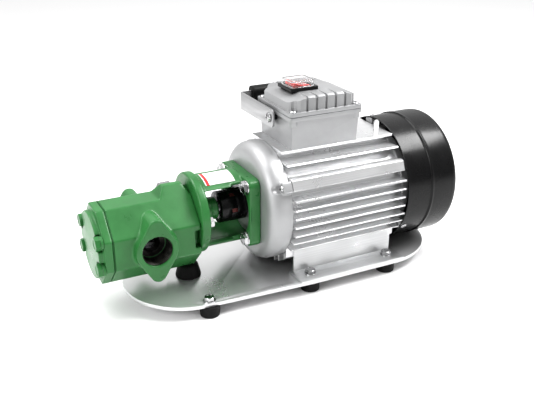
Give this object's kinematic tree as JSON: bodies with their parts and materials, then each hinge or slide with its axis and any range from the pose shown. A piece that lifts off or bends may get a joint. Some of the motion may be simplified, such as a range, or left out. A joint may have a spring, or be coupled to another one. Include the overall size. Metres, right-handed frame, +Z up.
{
  "type": "fuel transfer pump",
  "caption": "Portable gear pump on a base plate, driven through an open lantern bracket by a finned electric motor with a switch box, a carrying handle and a fan cowl.",
  "frame": {"origin": "on the floor under the middle of the bounding box", "axes": "+X along the shaft from the pump cover to the fan cowl, +Z up, -Y towards the near port"},
  "size_m": [0.4138, 0.1616, 0.222],
  "materials": {
    "green_enamel": "satin",
    "cast_silver": "satin",
    "box_paint": "satin",
    "black_paint": "satin",
    "plate_steel": "polished",
    "zinc": "polished",
    "ground_steel": "brushed",
    "bronze": "satin",
    "copper": "varnished",
    "lamination": "dull",
    "black_rubber": "matte",
    "red_rubber": "matte",
    "black_plastic": "matte",
    "pale_plastic": "gloss",
    "red_plastic": "gloss",
    "clear_vinyl": "clear",
    "fibre": "matte"
  },
  "bodies": {
    "frame": {"base_plate": "plate_steel", "rubber_feet": "black_rubber", "foot_bolts": "zinc", "foot_washers": "zinc", "foot_nuts": "zinc", "pump_support": "black_rubber", "foot_brackets": "plate_steel", "pump_body": "green_enamel", "cover_gasket": "fibre", "front_cover": "green_enamel", "cover_bolts": "green_enamel", "front_bearing_block": "bronze", "rear_bearing_block": "bronze", "shaft_seal": "black_rubber", "seal_gland": "green_enamel", "relief_spring": "ground_steel", "relief_cap": "zinc", "lantern": "green_enamel", "pump_flange_bolts": "zinc", "lantern_bolts": "zinc", "front_shield": "cast_silver", "shield_screws": "zinc", "motor_housing": "cast_silver", "stator_core": "lamination", "stator_windings": "copper", "front_bearing": "ground_steel", "rear_bearing": "ground_steel", "rear_shield": "cast_silver", "fan_cowl": "black_paint", "cowl_screws": "zinc", "cowl_tab": "cast_silver", "switch_box": "box_paint", "box_gasket": "black_rubber", "box_lid": "box_paint", "lid_screws": "zinc", "run_capacitor": "pale_plastic", "terminal_block": "black_plastic", "cable_gland": "black_plastic", "switch_frame": "black_plastic", "switch_boot": "clear_vinyl", "handle_pivots": "zinc"},
    "shaft_assembly": {"drive_gear": "ground_steel", "pump_shaft": "ground_steel", "coupling_hub_pump": "black_paint", "coupling_spider": "red_rubber", "coupling_hub_motor": "black_paint", "coupling_screws": "ground_steel", "rotor": "lamination", "motor_shaft": "ground_steel", "cooling_fan": "black_plastic"},
    "idler": {"driven_gear": "ground_steel"},
    "rocker": {"switch_rocker": "red_plastic"},
    "handle": {"handle_bail": "plate_steel", "handle_grip": "black_rubber"},
    "poppet": {"relief_poppet": "ground_steel"}
  },
  "joints": [
    {"name": "shaft_spin", "type": "hinge", "parent": "frame", "child": "shaft_assembly", "pos_m": [0.0012, -0.00375, 0.0903], "axis": [1, 0, 0], "continuous": true},
    {"name": "idler_spin", "type": "hinge", "parent": "frame", "child": "idler", "pos_m": [-0.1488, -0.00375, 0.0623], "axis": [1, 0, 0], "continuous": true},
    {"name": "rocker_tilt", "type": "hinge", "parent": "frame", "child": "rocker", "pos_m": [0.0344, -0.00375, 0.2122], "axis": [0, -1, 0], "range_deg": [0, 24]},
    {"name": "handle_swing", "type": "hinge", "parent": "frame", "child": "handle", "pos_m": [0.0484, -0.00375, 0.183], "axis": [1, 0, 0], "range_deg": [0, 180]},
    {"name": "relief_lift", "type": "slide", "parent": "frame", "child": "poppet", "axis": [0, 1, 0], "range_m": [0, 0.003], "stiffness_N_per_m": 2000, "springref_m": -0.001, "deforming": ["relief_spring"]}
  ],
  "couplings": [
    {"joint": "idler_spin", "follows": "shaft_spin", "ratio": -1}
  ]
}
